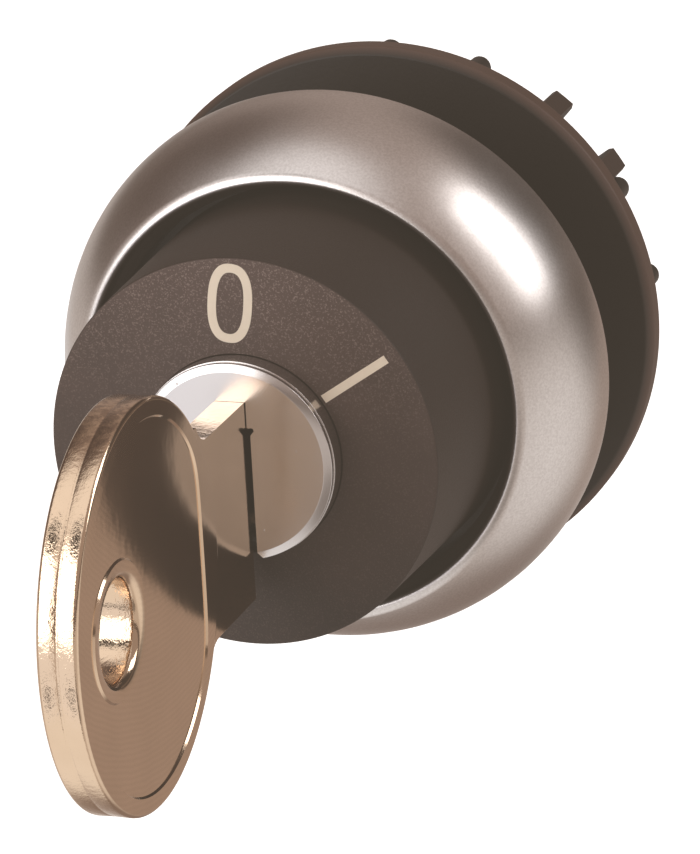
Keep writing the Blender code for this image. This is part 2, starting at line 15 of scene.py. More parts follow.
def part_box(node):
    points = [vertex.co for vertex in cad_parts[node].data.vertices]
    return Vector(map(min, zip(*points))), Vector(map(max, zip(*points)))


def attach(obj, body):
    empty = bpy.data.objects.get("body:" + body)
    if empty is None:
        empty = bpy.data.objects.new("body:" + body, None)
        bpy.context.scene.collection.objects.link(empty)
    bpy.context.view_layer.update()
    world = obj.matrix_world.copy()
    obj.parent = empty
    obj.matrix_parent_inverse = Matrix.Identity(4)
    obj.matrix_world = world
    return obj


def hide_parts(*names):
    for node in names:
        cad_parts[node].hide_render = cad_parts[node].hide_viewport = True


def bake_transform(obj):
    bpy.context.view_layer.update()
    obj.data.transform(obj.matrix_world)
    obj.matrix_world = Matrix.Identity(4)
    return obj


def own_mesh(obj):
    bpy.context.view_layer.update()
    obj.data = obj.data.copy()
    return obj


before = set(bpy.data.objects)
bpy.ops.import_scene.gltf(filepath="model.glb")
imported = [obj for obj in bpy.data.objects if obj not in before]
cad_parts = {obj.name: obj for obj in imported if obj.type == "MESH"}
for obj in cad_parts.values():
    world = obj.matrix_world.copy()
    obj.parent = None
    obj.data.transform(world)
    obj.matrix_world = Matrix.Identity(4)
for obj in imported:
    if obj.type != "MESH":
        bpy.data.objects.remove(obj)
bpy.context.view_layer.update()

MM = 0.001
ROUND = 192               # sides of the large turned pieces
FINE = 96                 # sides of the small turned pieces
WAFERS = range(1, 6)      # numbers of the wafers, from the front
COVER_SUNK = 0.25         # depth of the rear cover's face behind its raised edge


def extent(node, axis):
    """Lowest and highest place of a CAD node along an axis, in millimetres."""
    low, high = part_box(node)
    return low[axis] / MM, high[axis] / MM


# Places taken from the frame. Every round piece is centred on the axis.
X, Y, Z = 0, 1, 2
bezel_rear = extent("bezel_ring", Y)[1]
bezel_front = extent("bezel_ring", Y)[0]
bezel_radius = extent("bezel_ring", Z)[1]
shroud_front, shroud_rear = extent("shroud", Y)
shroud_radius = extent("shroud", Z)[1]
plug_front, plug_rear = extent("lock_plug", Y)
plug_head = extent("lock_plug", X)[1]
gasket_front, gasket_rear = extent("front_gasket", Y)
gasket_radius = extent("front_gasket", Z)[1]
ring_front, ring_rear = extent("lock_ring", Y)
ring_radius = extent("lock_ring", Z)[1]
housing_front, housing_rear = extent("housing", Y)
flange_radius = extent("housing", X)[1]
cover_front, cover_rear = extent("rear_cover", Y)
cover_radius = extent("rear_cover", X)[1]
key_front, key_tip = extent("key", Y)
key_low, key_high = extent("key", Z)
bow_half = extent("key", X)[1]
bow_height = (key_high - key_low) / 2
bow_length = bow_height - 0.6
bow_centre = (key_front + bow_length, (key_high + key_low) / 2)
plunger_low, plunger_high = extent("plunger_right", Y)
plunger_left_x = sum(extent("plunger_left", X)) / 2
plunger_right_x = sum(extent("plunger_right", X)) / 2
screw_front, screw_rear = extent("cover_screw_top", Y)
screw_z = sum(extent("cover_screw_top", Z)) / 2


# Outlines

def polar(radius, angle):
    """x and z at this radius and at this angle clockwise from the top."""
    turn = math.radians(angle)
    return radius * math.sin(turn), radius * math.cos(turn)


def arc(centre, radius, start, end, steps):
    """Points on an arc about centre, from start to end degrees."""
    points = []
    for step in range(steps + 1):
        turn = math.radians(start + (end - start) * step / steps)
        points.append((centre[0] + radius * math.cos(turn), centre[1] + radius * math.sin(turn)))
    return points


def rounded(corners, closed=True):
    """Outline through (first, second, fillet) corners, each rounded to its fillet radius."""
    points = []
    count = len(corners)
    for index, (first, second, fillet) in enumerate(corners):
        here = Vector((first, second))
        if fillet == 0 or (not closed and index in (0, count - 1)):
            points.append((first, second))
            continue
        back = (Vector(corners[index - 1][:2]) - here).normalized()
        ahead = (Vector(corners[(index + 1) % count][:2]) - here).normalized()
        half = back.angle(ahead) / 2
        centre = here + (back + ahead).normalized() * fillet / math.sin(half)
        start = here + back * fillet / math.tan(half) - centre
        sweep = math.pi - 2 * half
        if start.x * ahead.y - start.y * ahead.x < 0:
            sweep = -sweep
        steps = max(3, round(abs(math.degrees(sweep)) / 12))
        for step in range(steps + 1):
            turned_by = Matrix.Rotation(sweep * step / steps, 2) @ start
            points.append(tuple(centre + turned_by))
    return points


# Meshes. Each function returns a bmesh of one closed body.

def turned(outline, sides=ROUND):
    """Body turned about the Y axis from (radius, y) points, solid if both ends are on the axis."""
    made = bmesh.new()
    open_ended = outline[0][0] == 0 and outline[-1][0] == 0
    loops = []
    for radius, y in outline:
        if radius == 0:
            loops.append([made.verts.new((0, y * MM, 0))])
            continue
        loop = []
        for side in range(sides):
            x, z = polar(radius, 360 * side / sides)
            loop.append(made.verts.new((x * MM, y * MM, z * MM)))
        loops.append(loop)
    pairs = list(zip(loops, loops[1:]))
    if not open_ended:
        pairs.append((loops[-1], loops[0]))
    for near, far in pairs:
        for side in range(sides):
            after = (side + 1) % sides
            if len(near) == 1:
                made.faces.new((near[0], far[after], far[side]))
            elif len(far) == 1:
                made.faces.new((near[side], near[after], far[0]))
            else:
                made.faces.new((near[side], near[after], far[after], far[side]))
    bmesh.ops.recalc_face_normals(made, faces=made.faces)
    return made


def extruded(corners, direction):
    """Body made by extruding a closed loop of 3-D corners along direction."""
    made = bmesh.new()
    loop = [made.verts.new([value * MM for value in corner]) for corner in corners]
    face = made.faces.new(loop)
    grown = bmesh.ops.extrude_face_region(made, geom=[face])
    moved = [item for item in grown["geom"] if isinstance(item, bmesh.types.BMVert)]
    bmesh.ops.translate(made, verts=moved, vec=[value * MM for value in direction])
    bmesh.ops.recalc_face_normals(made, faces=made.faces)
    return made


def along_y(outline, front, rear):
    """Body with an (x, z) outline from y = front to y = rear."""
    return extruded([(x, front, z) for x, z in outline], (0, rear - front, 0))


def along_x(outline, half):
    """Body with a (y, z) outline between x = -half and x = half."""
    return extruded([(-half, y, z) for y, z in outline], (2 * half, 0, 0))


def block(low, high):
    """Box between two corners."""
    x0, y0, z0 = low
    x1, y1, z1 = high
    return along_y([(x0, z0), (x1, z0), (x1, z1), (x0, z1)], y0, y1)


def rod(x, z, radius, front, rear, sides=48):
    """Cylinder parallel to the Y axis, its corners kept off the edges of the pieces round it."""
    start = 2.3
    outline = arc((x, z), radius, start, start + 360 * (sides - 1) / sides, sides - 1)
    return along_y(outline, front, rear)


def sector(inner, outer, start, end, front, rear, steps=12):
    """Piece of a ring about the Y axis between two angles."""
    angles = [start + (end - start) * step / steps for step in range(steps + 1)]
    outline = [polar(outer, angle) for angle in angles]
    outline += [polar(inner, angle) for angle in reversed(angles)]
    return along_y(outline, front, rear)


def tube(rings, capped=True):
    """Body through rings of equally many 3-D points. Without caps, the last ring joins the first."""
    made = bmesh.new()
    loops = [[made.verts.new([value * MM for value in point]) for point in ring] for ring in rings]
    pairs = list(zip(loops, loops[1:]))
    if not capped:
        pairs.append((loops[-1], loops[0]))
    for near, far in pairs:
        for side in range(len(near)):
            after = (side + 1) % len(near)
            made.faces.new((near[side], near[after], far[after], far[side]))
    if capped:
        made.faces.new(loops[0])
        made.faces.new(loops[-1])
    bmesh.ops.recalc_face_normals(made, faces=made.faces)
    return made


# Objects

def thing_from(name, body):
    mesh = bpy.data.meshes.new(name)
    body.to_mesh(mesh)
    body.free()
    thing = bpy.data.objects.new(name, mesh)
    bpy.context.scene.collection.objects.link(thing)
    return thing


def apply_modifiers(thing):
    """Turns what the modifiers make into the object's own mesh."""
    graph = bpy.context.evaluated_depsgraph_get()
    mesh = bpy.data.meshes.new_from_object(thing.evaluated_get(graph))
    thing.modifiers.clear()
    thing.data = mesh


def combine(thing, body, operation):
    """Cuts a body from an object, or joins it on."""
    tool = thing_from("tool", body)
    modifier = thing.modifiers.new("combine", "BOOLEAN")
    modifier.operation = operation
    modifier.solver = "EXACT"
    modifier.object = tool
    apply_modifiers(thing)
    bpy.data.objects.remove(tool, do_unlink=True)


def cut(thing, body):
    combine(thing, body, "DIFFERENCE")


def join(thing, body):
    combine(thing, body, "UNION")


def join_thing(thing, other):
    """Joins another object on, which leaves the scene."""
    body = bmesh.new()
    body.from_mesh(other.data)
    bpy.data.objects.remove(other, do_unlink=True)
    join(thing, body)


def bevel(thing, width, segments=3, angle=35):
    """Rounds the edges that are sharper than angle."""
    modifier = thing.modifiers.new("bevel", "BEVEL")
    modifier.width = width * MM
    modifier.segments = segments
    modifier.limit_method = "ANGLE"
    modifier.angle_limit = math.radians(angle)
    modifier.harden_normals = False
    apply_modifiers(thing)


def finished(thing, finish, body, slot, *nodes):
    """Shades a piece, gives it its material, puts it on its body and hides the CAD nodes it stands for. slot
    is not used.
    """
    sharp = math.radians(32)
    thing.data.materials.clear()
    thing.data.materials.append(finish)
    thing.data.shade_smooth()
    thing.data.set_sharp_from_angle(angle=sharp)
    weights = thing.modifiers.new("weights", "WEIGHTED_NORMAL")
    weights.keep_sharp = True
    if body is not None:
        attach(thing, body)
    if nodes:
        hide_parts(*nodes)
    return thing


# Materials

def fill(tree, socket, value):
    """Gives a socket a value, or links it to the socket that is its value."""
    if isinstance(value, bpy.types.NodeSocket):
        tree.links.new(value, socket)
    else:
        socket.default_value = value


def add(tree, kind, inputs=None, **settings):
    """A node with these settings, and with its named inputs filled."""
    made = tree.nodes.new(kind)
    for name, value in settings.items():
        setattr(made, name, value)
    for name, value in (inputs or {}).items():
        fill(tree, made.inputs[name], value)
    return made


def maths(tree, operation, *values):
    """Number from a maths node."""
    made = add(tree, "ShaderNodeMath", operation=operation)
    for socket, value in zip(made.inputs, values):
        fill(tree, socket, value)
    return made.outputs["Value"]


def vector_maths(tree, operation, *values, result="Vector"):
    """Vector, or number if result is Value, from a vector maths node."""
    made = add(tree, "ShaderNodeVectorMath", operation=operation)
    for socket, value in zip(made.inputs, values):
        fill(tree, socket, value)
    return made.outputs[result]


def part(tree, vector, axis):
    """The part of a vector along an axis, X, Y or Z."""
    return add(tree, "ShaderNodeSeparateXYZ", {"Vector": vector}).outputs[axis]


def facing(tree, axis):
    """How much the surface faces along an axis, from -1 to 1."""
    return part(tree, add(tree, "ShaderNodeTexCoord").outputs["Normal"], axis)


def material(name, metallic=0.0, specular=0.5):
    """A material with a Principled shader. Returns it with its node tree and the shader."""
    made = bpy.data.materials.new(name)
    made.use_nodes = True
    shader = made.node_tree.nodes["Principled BSDF"]
    shader.inputs["Metallic"].default_value = metallic
    shader.inputs["Specular IOR Level"].default_value = specular
    return made, made.node_tree, shader


def coat(tree, shader, colour, roughness):
    """Gives a shader its colour, a socket, and its roughness, a number or a socket."""
    fill(tree, shader.inputs["Base Color"], colour)
    fill(tree, shader.inputs["Roughness"], roughness)


def place_of(tree):
    """Coordinates on the piece, in millimetres, so that a scale is a count per millimetre."""
    place = add(tree, "ShaderNodeTexCoord").outputs["Object"]
    inputs = {"Vector": place, "Scale": 1 / MM}
    return add(tree, "ShaderNodeVectorMath", inputs, operation="SCALE").outputs["Vector"]


def noise(tree, place, per_mm, detail=2.0, roughness=0.5):
    """Fractal noise round one half, with this many features per millimetre."""
    inputs = {"Vector": place, "Scale": per_mm, "Detail": detail, "Roughness": roughness}
    return add(tree, "ShaderNodeTexNoise", inputs).outputs["Fac"]


def between(tree, factor, low, high, low_from=0.0, high_from=1.0):
    """Number that goes from low to high as factor goes from low_from to high_from."""
    inputs = {"Value": factor, "From Min": low_from, "From Max": high_from, "To Min": low, "To Max": high}
    return add(tree, "ShaderNodeMapRange", inputs).outputs["Result"]


def colours(tree, factor, first, second):
    """Mix of two colours by factor. A colour is three numbers or a socket."""
    ends = [end if isinstance(end, bpy.types.NodeSocket) else (*end, 1) for end in (first, second)]
    inputs = {"Factor": factor, "A": ends[0], "B": ends[1]}
    return add(tree, "ShaderNodeMix", inputs, data_type="RGBA").outputs["Result"]


def bumps(tree, shader, *layers):
    """Stacks (height, depth in millimetres) layers of relief on a shader."""
    normal = None
    for height, depth in layers:
        relief = add(tree, "ShaderNodeBump", {"Height": height, "Distance": depth * MM, "Strength": 1.0})
        if normal is not None:
            tree.links.new(normal, relief.inputs["Normal"])
        normal = relief.outputs["Normal"]
    tree.links.new(normal, shader.inputs["Normal"])


def satin_chrome():
    """Blasted and plated metal: a soft reflection with a very fine grain."""
    made, tree, shader = material("satin_chrome", 1.0)
    place = place_of(tree)
    grain = noise(tree, place, 8.0, 2.0, 0.6)
    cloud = noise(tree, place, 0.25, 3.0)
    tint = colours(tree, between(tree, grain, 0, 1, 0.35, 0.65), (0.58, 0.54, 0.52), (0.69, 0.65, 0.63))
    coat(tree, shader, tint, between(tree, cloud, 0.29, 0.34, 0.3, 0.7))
    bumps(tree, shader, (grain, 0.003), (noise(tree, place, 0.6, 2.0), 0.004))
    return made


def lock_chrome():
    """Polished plating with a slight unevenness, pits and specks."""
    made, tree, shader = material("lock_chrome", 1.0)
    place = place_of(tree)
    cloud = noise(tree, place, 0.35, 3.0)
    tint = colours(tree, cloud, (0.68, 0.65, 0.64), (0.63, 0.595, 0.58))
    coat(tree, shader, tint, between(tree, cloud, 0.19, 0.26, 0.3, 0.7))
    pits = add(tree, "ShaderNodeTexVoronoi", {"Vector": place, "Scale": 0.9, "Randomness": 1.0})
    pit = between(tree, pits.outputs["Distance"], 0.0, 1.0, 0.02, 0.06)
    bumps(tree, shader, (pit, 0.02), (noise(tree, place, 8.0, 2.0), 0.0006), (cloud, 0.01))
    return made


def key_nickel():
    """Bright nickel over brass: milling arcs on its flat faces, pits on its rim, and a painted dark
    reflection of the bow in brown patches on its upward faces by the bow.
    """
    made, tree, shader = material("key_nickel", 1.0)
    place = place_of(tree)
    cloud = noise(tree, place, 0.3, 3.0)
    flatness = maths(tree, "ABSOLUTE", facing(tree, "X"))
    rim = between(tree, flatness, 1.0, 0.0, 0.2, 0.8)
    pits = maths(tree, "MULTIPLY", rim, noise(tree, place, 3.5, 3.0, 0.7))
    cutter = (0.0, -30.0, 14.0)
    from_cutter = vector_maths(tree, "SUBTRACT", place, cutter)
    waves = {"Vector": from_cutter, "Scale": 1.1, "Distortion": 3.0, "Detail": 2.0, "Detail Scale": 0.6}
    arcs = add(tree, "ShaderNodeTexWave", waves, wave_type="RINGS", rings_direction="X").outputs["Fac"]
    milling = maths(tree, "MULTIPLY", arcs, between(tree, flatness, 0.0, 1.0, 0.8, 0.95))
    tone_mix = maths(tree, "MULTIPLY_ADD", milling, 0.4, between(tree, cloud, 0.0, 0.55, 0.3, 0.7))
    tint = colours(tree, tone_mix, (0.74, 0.56, 0.40), (0.64, 0.48, 0.335))
    # painted reflection: the upward faces by the bow are painted a patchy dark brown, standing for the dark
    # reflection of the bow
    upward = between(tree, facing(tree, "Z"), 0, 1, 0.8, 0.95)
    on_bow = between(tree, part(tree, place, "Y"), 0, 1, -21.5, -23.5)
    patches = between(tree, noise(tree, place, 1.6, 4.0, 0.7), 0.2, 1, 0.4, 0.55)
    painted_bow_reflection = maths(tree, "MULTIPLY", maths(tree, "MULTIPLY", upward, on_bow), patches)
    tint = colours(tree, painted_bow_reflection, tint, (0.38, 0.265, 0.19))
    coat(tree, shader, tint, between(tree, rim, 0.12, 0.05))
    bumps(tree, shader, (milling, 0.0002), (pits, 0.022), (cloud, 0.02))
    return made


def shroud_plastic():
    """Dark moulded plastic. Its face is mottled and painted lighter towards the top, a painted sheen of the
    light from above, with pale specks that are partly grain and partly painted glints, most of all at the
    top.
    """
    made, tree, shader = material("shroud_plastic", specular=0.3)
    place = place_of(tree)
    height = part(tree, place, "Z")
    cloud = noise(tree, place, 0.2, 3.0)
    # painted light: the face is painted lighter towards the top, where the light from above falls, over a
    # random mottle
    painted_light_factor = maths(tree, "MULTIPLY_ADD", cloud, 0.8, between(tree, height, -0.4, 0.6, -10, 10))
    tone_mix = colours(tree, painted_light_factor, (0.022, 0.0135, 0.011), (0.080, 0.050, 0.042))
    grain = noise(tree, place, 11.0, 2.0, 0.6)
    # painted glints: pale specks of the grain, most of all at the top, where the light from above catches
    # them
    at_top = between(tree, height, 0.15, 1, 1, 9)
    specks_and_glints = maths(tree, "MULTIPLY", between(tree, grain, 0, 1, 0.54, 0.66), at_top)
    face_tint = colours(tree, specks_and_glints, tone_mix, (0.20, 0.15, 0.13))
    on_face = between(tree, facing(tree, "Y"), 1, 0, -0.9, -0.5)
    tint = colours(tree, on_face, (0.025, 0.0145, 0.011), face_tint)
    coat(tree, shader, tint, between(tree, grain, 0.5, 0.62, 0.3, 0.7))
    bumps(tree, shader, (grain, 0.02))
    return made


def ring_plastic():
    """Dark moulded plastic with a painted highlight: browner and lighter round its rim, where light catches
    its side.
    """
    made, tree, shader = material("ring_plastic", specular=0.3)
    place = place_of(tree)
    radius = vector_maths(tree, "LENGTH", vector_maths(tree, "MULTIPLY", place, (1, 0, 1)), result="Value")
    # painted highlight: the outer side of the rim is painted a lighter brown where light catches it
    painted_light_factor = between(tree, radius, 0, 1, 14.7, 15.05)
    cloud = noise(tree, place, 0.35, 3.0)
    plain_tone = colours(tree, cloud, (0.020, 0.0135, 0.011), (0.013, 0.009, 0.0075))
    coat(tree, shader, colours(tree, painted_light_factor, plain_tone, (0.085, 0.048, 0.036)), 0.5)
    bumps(tree, shader, (noise(tree, place, 5.0, 3.0), 0.01), (cloud, 0.03))
    return made


def plain_plastic(name, light, dark, roughness):
    """Moulded plastic with a faint mottle and a fine skin."""
    made, tree, shader = material(name)
    place = place_of(tree)
    cloud = noise(tree, place, 0.35, 3.0)
    gloss = between(tree, cloud, roughness - 0.07, roughness + 0.07, 0.3, 0.7)
    coat(tree, shader, colours(tree, cloud, light, dark), gloss)
    bumps(tree, shader, (noise(tree, place, 5.0, 3.0), 0.008), (cloud, 0.03))
    return made


def plain_metal(name, light, dark, roughness):
    """Metal with a faint mottle in its colour and its gloss."""
    made, tree, shader = material(name, 1.0)
    place = place_of(tree)
    cloud = noise(tree, place, 1.5, 4.0)
    gloss = between(tree, cloud, roughness - 0.06, roughness + 0.08, 0.3, 0.7)
    coat(tree, shader, colours(tree, cloud, light, dark), gloss)
    bumps(tree, shader, (noise(tree, place, 9.0, 2.0), 0.003))
    return made


def mark_paint():
    """Cream print, slightly uneven."""
    made, tree, shader = material("mark_paint")
    fine = noise(tree, place_of(tree), 4.0, 3.0)
    coat(tree, shader, colours(tree, fine, (0.78, 0.68, 0.54), (0.72, 0.62, 0.495)), 0.6)
    bumps(tree, shader, (fine, 0.006))
    return made


satin = satin_chrome()
bright = lock_chrome()
nickel = key_nickel()
black = shroud_plastic()
clamp_black = ring_plastic()
charcoal = plain_plastic("charcoal_plastic", (0.026, 0.018, 0.015), (0.018, 0.0125, 0.0105), 0.5)
rubber = plain_plastic("seal_rubber", (0.018, 0.014, 0.012), (0.013, 0.011, 0.009), 0.62)
red = plain_plastic("plunger_plastic", (0.46, 0.05, 0.035), (0.38, 0.04, 0.03), 0.4)
steel = plain_metal("spring_steel", (0.66, 0.63, 0.60), (0.55, 0.52, 0.49), 0.24)
zinc = plain_metal("die_cast_zinc", (0.60, 0.58, 0.56), (0.50, 0.48, 0.46), 0.42)
brass = plain_metal("brass", (0.78, 0.58, 0.30), (0.68, 0.49, 0.24), 0.3)
cream = mark_paint()


# The fixed pieces

def blended_arcs(start, arcs):
    """(radius, y) points along arcs of (radius, last slant), each tangent to the one before it.

    start is (slant, radius, y). A slant is in degrees, 0 where the outline faces straight to the front.
    """
    slant, radius, y = start
    points = []
    for bend, last_slant in arcs:
        out, back = math.sin(math.radians(slant)), math.cos(math.radians(slant))
        centre = (radius - bend * out, y + bend * back)
        steps = max(4, round(abs(last_slant - slant) / 4))
        first = 1 if points else 0
        for step in range(first, steps + 1):
            turn = math.radians(slant + (last_slant - slant) * step / steps)
            points.append((centre[0] + bend * math.sin(turn), centre[1] - bend * math.cos(turn)))
        slant = last_slant
        radius, y = points[-1]
    return points


def make_bezel():
    """Dome with a rolled lip in front, hollow behind."""
    lip_inner, throat, wall, hollow_front = 11.62, 11.1, 0.2, -4.6
    step_front, step_rear = bezel_front + 1.3, bezel_front + 1.8
    roll, roll_end, shoulder, shoulder_end = 0.25, 12, 0.813, 47
    crown = blended_arcs((-90, lip_inner, bezel_front + roll), [(roll, roll_end), (shoulder, shoulder_end)])
    dome = (bezel_radius - crown[-1][0]) / (1 - math.sin(math.radians(shoulder_end)))
    crown += blended_arcs((shoulder_end, *crown[-1]), [(dome, 90)])[1:]
    behind = [
        (bezel_radius, bezel_rear, 0.05), (flange_radius + wall, bezel_rear, 0.08),
        (flange_radius + wall, hollow_front, 0), (throat, hollow_front, 0), (throat, step_rear, 0.1),
        (lip_inner, step_front, 0.1),
    ]
    ends = [(*crown[-1], 0), *behind, (*crown[0], 0)]
    crown += rounded(ends, closed=False)[1:-1]
    bezel = thing_from("bezel_dome", turned(crown))
    return finished(bezel, satin, "switch_body", "satin_metal", "bezel_ring")


def make_gasket():
    inner = 12.0
    outline = rounded([
        (inner, gasket_rear, 0.1), (inner, gasket_front, 0.1),
        (gasket_radius, gasket_front, 0.25), (gasket_radius, gasket_rear, 0.25),
    ])
    gasket = thing_from("gasket_seal", turned(outline))
    return finished(gasket, rubber, "switch_body", "black_rubber", "front_gasket")


def make_shroud():
    """Tapered cup. Its face has a fine edge outside and round the plug."""
    front_radius, inside = shroud_radius - 0.45, 8.3
    hole, face_rear = plug_head + 0.02, shroud_front + 2.2
    outline = rounded([
        (hole, shroud_front, 0.05), (front_radius, shroud_front, 0.14),
        (shroud_radius, shroud_rear, 0.1), (inside, shroud_rear, 0),
        (inside, face_rear, 0), (hole, face_rear, 0),
    ])
    shroud = thing_from("shroud_cup", turned(outline))
    return finished(shroud, black, "switch_body", "black_plastic", "shroud")


def mark_depth():
    """Front and rear of the print on the shroud's face."""
    film = 0.02
    return shroud_front - film, shroud_front + film


def superellipse(half_width, half_height, power, points=96):
    outline = []
    for point in range(points):
        turn = 2 * math.pi * point / points
        side, rise = math.cos(turn), math.sin(turn)
        outline.append((
            half_width * math.copysign(abs(side) ** (2 / power), side),
            half_height * math.copysign(abs(rise) ** (2 / power), rise),
        ))
    return outline


def make_zero_mark():
    """The mark of the first position, a ring of even width."""
    centre, lean = Vector((-0.21, 7.93)), math.radians(-6)
    half_width, half_height, stroke, power = 1.18, 2.075, 0.46, 2.5
    front, rear = mark_depth()
    turn = Matrix.Rotation(lean, 2)
    rings = []
    for inset, y in ((0, rear), (0, front), (stroke, front), (stroke, rear)):
        flat = superellipse(half_width - inset, half_height - inset, power)
        placed = [centre + turn @ Vector(point) for point in flat]
        rings.append([(x, y, z) for x, z in placed])
    mark = thing_from("mark_zero", tube(rings, capped=False))
    return finished(mark, cream, "switch_body", "black_plastic")


def make_one_mark():
    """The mark of the second position, a bar that points at the axis."""
    centre, direction = Vector((6.17, 4.26)), math.radians(56.3)
    half_length, half_width = 2.05, 0.225
    along = Vector((math.sin(direction), math.cos(direction)))
    across = Vector((along.y, -along.x))
    corners = [(-1, -1), (1, -1), (1, 1), (-1, 1)]
    outline = [centre + along * (a * half_length) + across * (b * half_width) for a, b in corners]
    mark = thing_from("mark_one", along_y(outline, *mark_depth()))
    return finished(mark, cream, "switch_body", "black_plastic")


def thread_rings(radius, depth, pitch, front, rear, inner):
    """Rings of a threaded sleeve: a helical outer wall and a plain bore."""
    sides, per_turn, offset = 120, 12, 0.7
    steepness, root_share = 1.6, 0.3
    front_fade, rear_fade, least_at_rear = 0.6, 0.6, 0.2
    levels = round((rear - front) / pitch * per_turn)
    rings = []
    for level in range(levels + 1):
        y = front + (rear - front) * level / levels
        fade = min(1.0, (y - front) / front_fade, (rear - y) / rear_fade + least_at_rear)
        ring = []
        for side in range(sides):
            phase = (y / pitch - side / sides) % 1.0
            slope = abs(2 * phase - 1)
            height = min(1.0, max(0.0, slope * steepness - root_share))
            x, z = polar(radius - depth * (1 - height * fade), 360 * side / sides + offset)
            ring.append((x, y, z))
        rings.append(ring)
    for y in (rear, front):
        ring = [polar(inner, 360 * side / sides + offset) for side in range(sides)]
        rings.append([(x, y, z) for x, z in ring])
    return rings


def make_housing():
    """Moulded body with a real thread on its collar, bayonet lugs and a nib that fits the panel's notch."""
    collar, neck, chamber, bore, tube_radius = 11.0, 10.2, 9.2, 6.5, 8.0
    flange_front, flange_rear, partition = -4.4, -1.4, 2.8
    pocket_inner, pocket_outer, pocket_floor = 8.7, 9.8, 1.4
    thread_depth, pitch, thread_front, thread_end = 0.8, 1.5, flange_rear - 0.13, 13.2
    core = collar - 0.95
    outline = rounded([
        (bore, housing_front, 0), (tube_radius, housing_front, 0.2), (tube_radius, flange_front, 0),
        (pocket_inner, flange_front, 0), (pocket_inner, pocket_floor, 0), (pocket_outer, pocket_floor, 0),
        (pocket_outer, flange_front, 0), (flange_radius, flange_front, 0.2),
        (flange_radius, flange_rear, 0.2), (core, flange_rear, 0), (core, thread_end, 0),
        (neck, thread_end, 0), (neck, housing_rear, 0.2), (chamber, housing_rear, 0.2),
        (chamber, partition, 0), (bore, partition, 0),
    ])
    housing = thing_from("body_moulding", turned(outline, 144))
    thread = thread_rings(collar, thread_depth, pitch, thread_front, thread_end, core - 0.3)
    join(housing, tube(thread, capped=False))
    lug_half, lug_inner, lug_outer, lug_front, lug_rear = 13, neck - 0.4, neck + 0.73, 14.6, 15.9
    for middle in (45, 135, 225, 315):
        join(housing, sector(lug_inner, lug_outer, middle - lug_half, middle + lug_half, lug_front, lug_rear))
    boss_radius, boss_front, boss_rear = 2.1, 12.8, cover_front - 0.2
    for side in (1, -1):
        join(housing, rod(0, side * screw_z, boss_radius, boss_front, boss_rear))
    nib_half, nib_front, nib_rear, nib_low, nib_high = 1.4, 0.1, 2.2, collar - 1.2, collar + 0.83
    nib = thing_from("nib", block((-nib_half, nib_front, nib_low), (nib_half, nib_rear, nib_high)))
    bevel(nib, 0.15, 2)
    join_thing(housing, nib)
    return finished(housing, charcoal, "switch_body", "black_plastic", "housing")


def ring_hub_outline(hub, rib_height, rib_half, lug_radius):
    """(angle, radius) points round the hub: ribs at even places, save near the spanner lugs, and the lugs."""
    rib_places, first_rib, rib_steps = 17, -1.5, 6
    lugs, clearance = (39.3, 56.3, 208.8, 225.8), 4.5
    lug_half, lug_lean, lug_corner, lug_round = 2.7, 0.05, 0.5, 0.25
    longest_gap, even_gap = 2.5, 2
    features = [(first_rib + 360 / rib_places * count, "rib") for count in range(rib_places)]
    features += [(middle, "lug") for middle in lugs]
    points = []
    for middle, kind in sorted(features):
        low, high = middle - lug_half, middle + lug_half
        if kind == "lug":
            points += [
                (low, hub), (low + lug_lean, lug_radius - lug_round), (low + lug_corner, lug_radius),
                (high - lug_corner, lug_radius), (high - lug_lean, lug_radius - lug_round), (high, hub),
            ]
        elif min(abs(middle - lug) for lug in lugs) >= clearance:
            for step in range(-rib_steps, rib_steps + 1):
                share = step / rib_steps
                points.append((middle + share * rib_half, hub + rib_height * math.sqrt(1 - share * share)))
    filled = []
    closing = (points[0][0] + 360, points[0][1])
    for (angle, radius), (after, next_radius) in zip(points, [*points[1:], closing]):
        filled.append((angle, radius))
        gap = after - angle
        if gap > longest_gap:
            count = round(gap / even_gap)
            for step in range(1, count):
                share = step / count
                filled.append((angle + gap * share, radius + (next_radius - radius) * share))
    return filled


def make_lock_ring():
    """Ring with a plain rim in front and a ribbed hub behind, with a plain bore."""
    hub, bore, rim_rear, rim_slope, buried = 13.6, 11.3, 8.2, 0.4, 0.5
    rib_height, rib_half, lug_radius = 0.85, 2.8, 14.85
    rim = rounded([
        (bore, ring_front, 0.3), (ring_radius - rim_slope, ring_front, 0.2),
        (ring_radius, ring_front + rim_slope, 0.2), (ring_radius, rim_rear, 0.2), (bore, rim_rear, 0),
    ])
    outline = ring_hub_outline(hub, rib_height, rib_half, lug_radius)
    levels = ((rim_rear - buried, 0.0), (ring_rear - 0.3, 0.0), (ring_rear - 0.1, 0.06), (ring_rear, 0.28))
    rings = []
    for y, inset in levels:
        corners = [polar(radius - inset, angle) for angle, radius in outline]
        rings.append([(x, y, z) for x, z in corners])
    for y in (ring_rear, rim_rear - buried):
        corners = [polar(bore, angle) for angle, _ in outline]
        rings.append([(x, y, z) for x, z in corners])
    ring = thing_from("clamp_ring", turned(rim))
    join(ring, tube(rings, capped=False))
    return finished(ring, clamp_black, "switch_body", "dark_plastic", "lock_ring")


